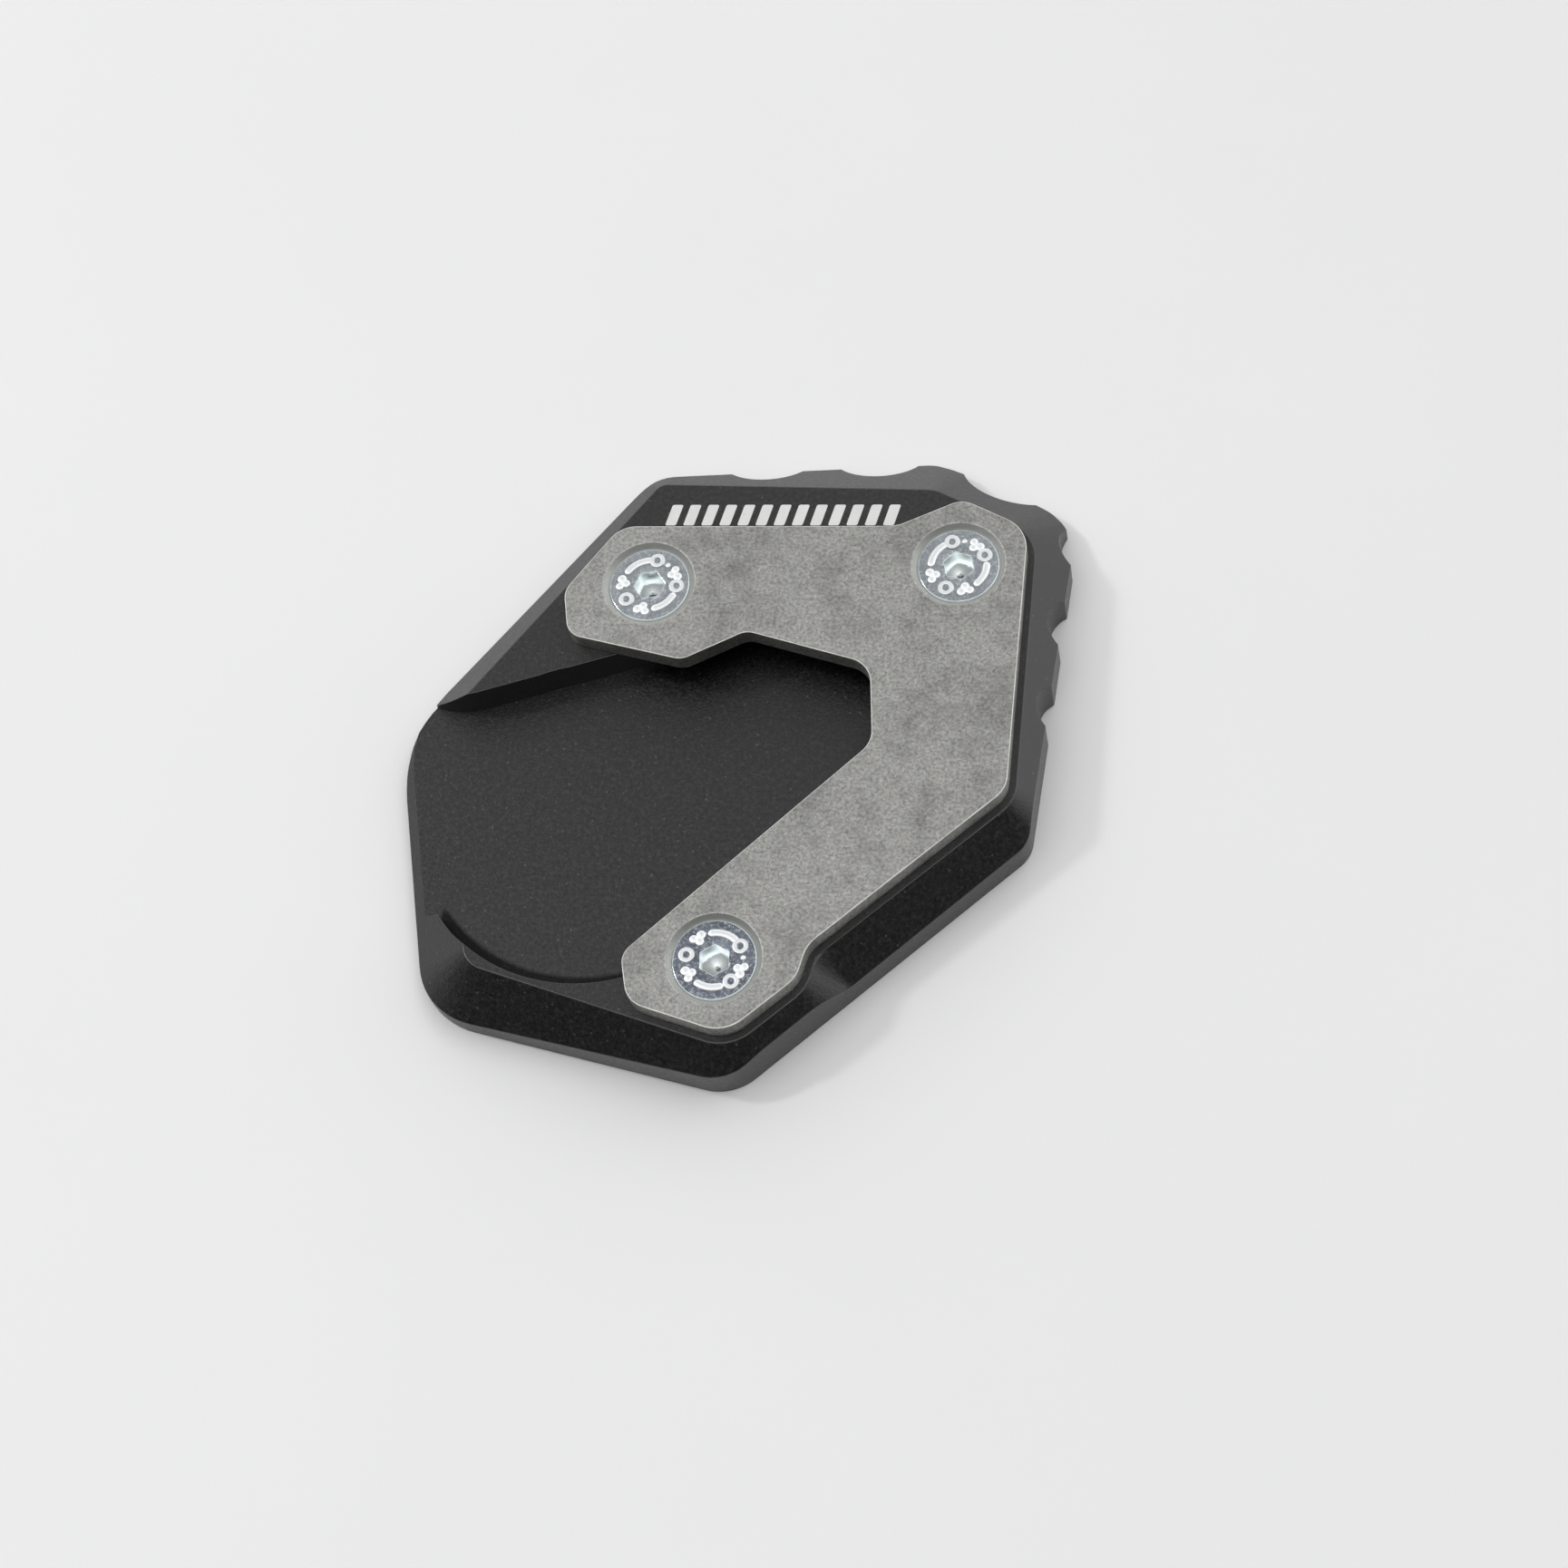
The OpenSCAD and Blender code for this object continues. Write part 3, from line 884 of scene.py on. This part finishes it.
def tip_blank(centre, low, high, radius, bevel):
    """The plain outside of a shank: a bar with a bevelled tip."""
    clear_selection()
    bpy.ops.mesh.primitive_cylinder_add(
        vertices=96,
        radius=radius,
        depth=high - low,
        location=(centre.x, centre.y, (low + high) / 2),
    )
    blank = bpy.context.object
    keep_place()
    edit(blank)
    select_edges(blank, lambda e: all(abs(v.co.z - low) < SAME_POINT for v in e.verts))
    bpy.ops.mesh.bevel(offset=bevel, segments=1, affect="EDGES", clamp_overlap=False)
    bpy.ops.object.mode_set(mode="OBJECT")
    outward(blank)
    return blank


def arc_bar(centre, top, direction, spread, look):
    """A raised soft bar bent along the ring of marks, with round ends."""
    half = math.radians(spread) / 2
    clear_selection()
    bpy.ops.mesh.primitive_circle_add(vertices=20, radius=1.0, fill_type="NGON")
    bar = bpy.context.object
    edit(bar)
    bpy.ops.transform.resize(value=(look.mark_width / 2, look.mark_height, 1.0))
    bpy.ops.transform.rotate(
        value=math.radians(90), orient_axis="X", center_override=(0.0, 0.0, 0.0)
    )
    bpy.ops.transform.translate(value=(look.mark_radius, 0.0, 0.0))
    bpy.ops.mesh.spin(
        steps=max(3, round(spread / 4)),
        angle=2 * half,
        center=(0.0, 0.0, 0.0),
        axis=(0.0, 0.0, 1.0),
    )
    close_ends(bar)
    bpy.ops.object.mode_set(mode="OBJECT")
    bar.location = (centre.x, centre.y, top + PROUD)
    bar.rotation_euler = (0.0, 0.0, direction + half)
    pick(bar)
    keep_place()
    outward(bar)
    for end in (-half, half):
        combine(bar, mark_dot(centre, top, direction + end, look, size=0.5), "UNION")
    return bar


def close_ends(piece):
    """In edit mode, merges doubles, closes open ends and turns the faces outwards."""
    bpy.ops.mesh.select_all(action="SELECT")
    bpy.ops.mesh.remove_doubles(threshold=1e-8)
    bpy.ops.mesh.select_mode(type="EDGE")
    bpy.ops.mesh.select_all(action="DESELECT")
    bpy.ops.mesh.select_non_manifold(
        extend=False,
        use_wire=False,
        use_multi_face=False,
        use_non_contiguous=False,
        use_verts=False,
    )
    mesh = bmesh.from_edit_mesh(piece.data)
    if any(e.select for e in mesh.edges):
        bpy.ops.mesh.edge_face_add()
    bpy.ops.mesh.select_all(action="SELECT")
    bpy.ops.mesh.normals_make_consistent(inside=False)


def mark_ring(centre, top, direction, look):
    """A raised round ring on the ring of marks."""
    place = ring_place(centre, top, direction, look)
    tube = look.mark_width * 0.33
    clear_selection()
    bpy.ops.mesh.primitive_torus_add(
        major_radius=look.mark_width * 0.74,
        minor_radius=tube,
        major_segments=24,
        minor_segments=8,
        location=place,
    )
    ring = bpy.context.object
    ring.scale = (1.0, 1.0, look.mark_height / tube)
    keep_place()
    return ring


def mark_dot(centre, top, direction, look, out=0.0, size=0.36):
    """A raised round dot near the ring of marks."""
    clear_selection()
    bpy.ops.mesh.primitive_uv_sphere_add(
        segments=18,
        ring_count=8,
        radius=look.mark_width * size,
        location=ring_place(centre, top, direction, look, out),
    )
    dot = bpy.context.object
    dot.scale = (1.0, 1.0, look.mark_height / (look.mark_width * size))
    keep_place()
    return dot


def mark_trio(centre, top, direction, look):
    """Three raised dots that run into one another."""
    size = look.mark_width
    near = math.radians(8.0)
    trio = mark_dot(centre, top, direction - near, look, size * 0.2, 0.62)
    # turn, way out from the ring of marks, and size
    for turn, out, share in ((near, size * 0.32, 0.56), (near * 0.2, -size * 0.45, 0.58)):
        combine(trio, mark_dot(centre, top, direction + turn, look, out, share), "UNION")
    return trio


def ring_place(centre, top, direction, look, out=0.0):
    """A place near the ring of marks, just proud of the face so that no point lies in it."""
    radius = look.mark_radius + out
    return (
        centre.x + radius * math.cos(direction),
        centre.y + radius * math.sin(direction),
        top + PROUD,
    )


def turned_head(centre, top, neck, radius, look):
    """The countersunk head, turned from its half outline."""
    above_neck = 0.3 * MM
    low = neck + above_neck
    outline = (
        (0.0, 0.0, low),
        (look.shank_radius + above_neck, 0.0, low),
        (radius, 0.0, top - look.head_rim),
        (radius, 0.0, top - look.head_bevel),
        (radius - look.head_bevel, 0.0, top),
        (0.0, 0.0, top),
    )
    head = trace(outline, "head")
    edit(head)
    bpy.ops.mesh.spin(steps=96, angle=math.tau, center=(0.0, 0.0, 0.0), axis=(0.0, 0.0, 1.0))
    bpy.ops.object.mode_set(mode="OBJECT")
    outward(head)
    head.location = (centre.x, centre.y, 0.0)
    keep_place()
    return head


def cut_socket(head, centre, top, turn, look):
    """Cuts the hexagon socket and the drill point under its floor."""
    floor = top - look.socket_depth
    clear_selection()
    bpy.ops.mesh.primitive_cylinder_add(
        vertices=6,
        radius=look.socket_width / 2 / math.cos(math.radians(30)),
        depth=look.socket_depth + MM,
        location=(centre.x, centre.y, floor + (look.socket_depth + MM) / 2),
        rotation=(0.0, 0.0, turn),
    )
    hexagon = bpy.context.object
    keep_place()
    combine(head, hexagon, "DIFFERENCE")
    rise = look.socket_point / 2
    over = 0.05 * MM
    clear_selection()
    bpy.ops.mesh.primitive_cone_add(
        vertices=48,
        radius1=0.0,
        radius2=look.socket_point + 2 * over,
        depth=rise + over,
        location=(centre.x, centre.y, floor - rise + (rise + over) / 2),
    )
    point = bpy.context.object
    keep_place()
    combine(head, point, "DIFFERENCE")


class ENLARGER_OT_screws(bpy.types.Operator):
    """Three countersunk screws with real threads and raised marks on their heads"""

    bl_idname = "enlarger.screws"
    bl_label = "Screws"

    def execute(self, context):
        look = context.scene.enlarger_screws
        zinc = zinc_plate(look)
        for node in SCREW_NODES:
            low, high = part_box(node)
            centre = screw_centre(node)
            head_radius = (high.x - low.x) / 2
            shank = look.shank_radius
            neck = high.z - look.head_rim - (head_radius - shank)
            piece = turned_head(centre, high.z, neck, head_radius, look)
            piece.name = node + "_detail"
            cut_socket(piece, centre, high.z, math.radians(SOCKET_TURN[node]), look)
            # the blank is wider than the rod and both end inside the head, at their own levels
            rod = threaded_rod(centre, low.z, neck + 0.5 * MM, shank - 0.02 * MM, look)
            blank = tip_blank(centre, low.z, neck + MM, shank + 0.03 * MM, look.tip_bevel)
            combine(rod, blank, "INTERSECT")
            combine(piece, rod, "UNION")
            break_edges(
                piece, 0.05 * MM, 40.0,
                lambda e: all(v.co.z > high.z - 0.2 * MM for v in e.verts),
            )
            for kind, direction, spread in HEAD_MARKS:
                turn = math.radians(direction + SCREW_TURN[node])
                if kind == "bar":
                    mark = arc_bar(centre, high.z, turn, spread, look)
                elif kind == "ring":
                    mark = mark_ring(centre, high.z, turn, look)
                elif kind == "trio":
                    mark = mark_trio(centre, high.z, turn, look)
                else:
                    mark = mark_dot(centre, high.z, turn, look)
                combine(piece, mark, "UNION")
            mark_faces(piece, "raised_mark", lambda f: f.center.z > high.z + PROUD)
            # each flat top is marked with its head's share of the darker face colour; below 1 on
            # the upper two heads, as painted light
            mark_faces(
                piece, "flat_top",
                lambda f: f.normal.z > 0.9 and abs(f.center.z - high.z) < PROUD,
                FACE_SHARE_WITH_PAINTED_LIGHT[node],
            )
            done(piece)
            put_on(piece, node, zinc)
        return {"FINISHED"}


def select_beyond(piece, y):
    """In edit mode, selects the vertices past a line across the piece's own plane."""
    bpy.ops.mesh.select_mode(type="VERT")
    bpy.ops.mesh.select_all(action="DESELECT")
    mesh = bmesh.from_edit_mesh(piece.data)
    for v in mesh.verts:
        v.select = v.co.y > y
    bmesh.update_edit_mesh(piece.data)


class ENLARGER_OT_printed_bars(bpy.types.Operator):
    """Row of slanted white bars printed on the flat top above the clamp plate"""

    bl_idname = "enlarger.printed_bars"
    bl_label = "Printed bars"

    def execute(self, context):
        look = context.scene.enlarger_print
        lean = look.bar_height * math.tan(look.slant)
        step = (look.length - look.bar_width - lean) / max(look.bars - 1, 1)
        made = []
        for i in range(look.bars):
            clear_selection()
            bpy.ops.mesh.primitive_plane_add(size=1.0, location=(0.0, 0.0, 0.0))
            bar = context.object
            edit(bar)
            bpy.ops.transform.resize(value=(look.bar_width, look.bar_height, 1.0))
            bpy.ops.transform.translate(
                value=(i * step + look.bar_width / 2, look.bar_height / 2, 0.0)
            )
            select_beyond(bar, look.bar_height / 2)
            bpy.ops.transform.translate(value=(lean, 0.0, 0.0))
            bpy.ops.object.mode_set(mode="OBJECT")
            made.append(bar)
        pick(*made)
        bpy.ops.object.join()
        row = context.object
        row.name = "printed_bars"
        row.data.name = "printed_bars"
        edit(row)
        bpy.ops.mesh.bevel(offset=look.bar_width * 0.16, segments=3, affect="VERTICES")
        bpy.ops.mesh.select_all(action="SELECT")
        bpy.ops.mesh.extrude_region_move(TRANSFORM_OT_translate={"value": (0.0, 0.0, look.ink)})
        bpy.ops.mesh.select_all(action="SELECT")
        bpy.ops.mesh.normals_make_consistent(inside=False)
        bpy.ops.object.mode_set(mode="OBJECT")
        row.location = (look.start[0], look.start[1], LAND_Z)
        row.rotation_euler = (0.0, 0.0, look.row_angle)
        done(row)
        put_on(row, material=white_ink(look))
        return {"FINISHED"}


# How far the key light stands from the plate, in metres
KEY_DISTANCE = 1.2
# The floor lies just below the plate, so that their faces don't meet
FLOOR_Z = -0.05 * MM


def studio_world(look):
    """Soft light from all round: most from overhead, some from the right and from behind."""
    world = bpy.data.worlds.new("studio")
    world.use_nodes = True
    tree = world.node_tree
    place = add_node(tree, "ShaderNodeTexCoord").outputs["Generated"]

    def lobe(direction, least, most, strength):
        n = add_node(tree, "ShaderNodeVectorMath", operation="DOT_PRODUCT")
        feed(tree, n.inputs[0], place)
        feed(tree, n.inputs[1], Vector(direction).normalized())
        return map_span(tree, n.outputs["Value"], least, most, 0.0, strength, "SMOOTHSTEP")

    # where each light comes from, the cosines at which it starts and is full, and its strength
    total = look.world
    for direction, least, most, strength in (
        ((-0.1, 0.25, 0.96), 0.35, 1.0, look.overhead),
        ((-0.187, 0.42, 0.888), 0.8, 0.99, -look.overhead * look.overhead_gap),
        ((0.0, 1.0, 0.12), 0.65, 0.97, look.behind),
        ((0.87, 0.42, 0.2), 0.75, 0.98, look.right),
        ((-0.7, 0.7, 0.2), 0.7, 0.97, look.left),
    ):
        total = do_maths(tree, "ADD", total, lobe(direction, least, most, strength))
    total = do_maths(tree, "MAXIMUM", total, 0.0)
    camera_ray = add_node(tree, "ShaderNodeLightPath").outputs["Is Camera Ray"]
    shown = mix_colour(tree, camera_ray, (1.0, 1.0, 1.0), look.floor_colour)
    level = add_node(tree, "ShaderNodeMix", data_type="FLOAT")
    feed(tree, level.inputs[0], camera_ray)
    feed(tree, level.inputs[2], total)
    feed(tree, level.inputs[3], 1.0)
    light = tree.nodes["Background"]
    tree.links.new(shown, light.inputs["Color"])
    tree.links.new(level.outputs[0], light.inputs["Strength"])
    return world


class ENLARGER_OT_studio(bpy.types.Operator):
    """Pale floor, soft light and the camera"""

    bl_idname = "enlarger.studio"
    bl_label = "Studio"

    def execute(self, context):
        look = context.scene.enlarger_studio
        clear_selection()
        bpy.ops.mesh.primitive_plane_add(size=look.floor_size, location=(0.0, 0.0, FLOOR_Z))
        floor = context.object
        floor.name = "floor"
        keep_place()
        floor.data.materials.append(table_top(look))
        context.scene.world = studio_world(look)
        lamp(context, "key", Vector(look.key_from) * KEY_DISTANCE, look.key_size, look.key)
        camera = bpy.data.cameras.new("camera")
        camera.sensor_width = 36.0
        camera.lens = look.lens
        camera.clip_start = 0.01
        camera.clip_end = 50.0
        holder = bpy.data.objects.new("camera", camera)
        context.scene.collection.objects.link(holder)
        holder.location = look.eye
        sight = Vector(look.look_at) - Vector(look.eye)
        level = sight.to_track_quat("-Z", "Y")
        holder.rotation_mode = "QUATERNION"
        holder.rotation_quaternion = level @ Quaternion((0.0, 0.0, 1.0), look.roll)
        context.scene.camera = holder
        context.scene.view_settings.view_transform = "Standard"
        return {"FINISHED"}


def lamp(context, name, place, size, power):
    """A square soft lamp that points at the plate."""
    data = bpy.data.lights.new(name, "AREA")
    data.shape = "SQUARE"
    data.size = size
    data.energy = power
    holder = bpy.data.objects.new(name, data)
    context.scene.collection.objects.link(holder)
    holder.location = place
    holder.rotation_mode = "QUATERNION"
    holder.rotation_quaternion = (-place).to_track_quat("-Z", "Y")


def table_top(look):
    """Pale smooth table with a very faint unevenness."""
    s = Shader("table_top")
    tone = s.group(mottle_group, Place=s.place, Cloud_size=0.08, Fleck_size=0.01)
    body = s.mix(tone.outputs["Clouds"], times(look.floor_colour, 0.985), look.floor_colour)
    s.join(body, s.surface.inputs["Base Color"])
    s.surface.inputs["Roughness"].default_value = 0.6
    return s.material


class ENLARGER_PT_sidebar(bpy.types.Panel):
    """Sizes, colours and buttons"""

    bl_idname = "ENLARGER_PT_sidebar"
    bl_label = "Foot enlarger"
    bl_space_type = "VIEW_3D"
    bl_region_type = "UI"
    bl_category = "Enlarger"

    def draw(self, context):
        for operator, group in STEPS:
            box = self.layout.box()
            box.operator(operator)
            settings = getattr(context.scene, group)
            for name in settings.__annotations__:
                box.prop(settings, name)


STEPS = (
    ("enlarger.base_plate", "enlarger_base"),
    ("enlarger.clamp_plate", "enlarger_clamp"),
    ("enlarger.screws", "enlarger_screws"),
    ("enlarger.printed_bars", "enlarger_print"),
    ("enlarger.studio", "enlarger_studio"),
)
SETTINGS = {
    "enlarger_base": BaseFinish,
    "enlarger_clamp": ClampFinish,
    "enlarger_screws": ScrewDetail,
    "enlarger_print": PrintedBars,
    "enlarger_studio": StudioLook,
}
OPERATORS = (
    ENLARGER_OT_base_plate,
    ENLARGER_OT_clamp_plate,
    ENLARGER_OT_screws,
    ENLARGER_OT_printed_bars,
    ENLARGER_OT_studio,
)


def register():
    for group in SETTINGS.values():
        bpy.utils.register_class(group)
    for name, group in SETTINGS.items():
        setattr(bpy.types.Scene, name, bpy.props.PointerProperty(type=group))
    for operator in OPERATORS:
        bpy.utils.register_class(operator)
    bpy.utils.register_class(ENLARGER_PT_sidebar)


def unregister():
    bpy.utils.unregister_class(ENLARGER_PT_sidebar)
    for operator in reversed(OPERATORS):
        bpy.utils.unregister_class(operator)
    for name in SETTINGS:
        delattr(bpy.types.Scene, name)
    for group in reversed(list(SETTINGS.values())):
        bpy.utils.unregister_class(group)


def main():
    """Builds every piece and the studio."""
    register()
    bpy.ops.enlarger.base_plate()
    bpy.ops.enlarger.clamp_plate()
    bpy.ops.enlarger.screws()
    bpy.ops.enlarger.printed_bars()
    bpy.ops.enlarger.studio()
    clear_selection()


if __name__ == "__main__":
    main()
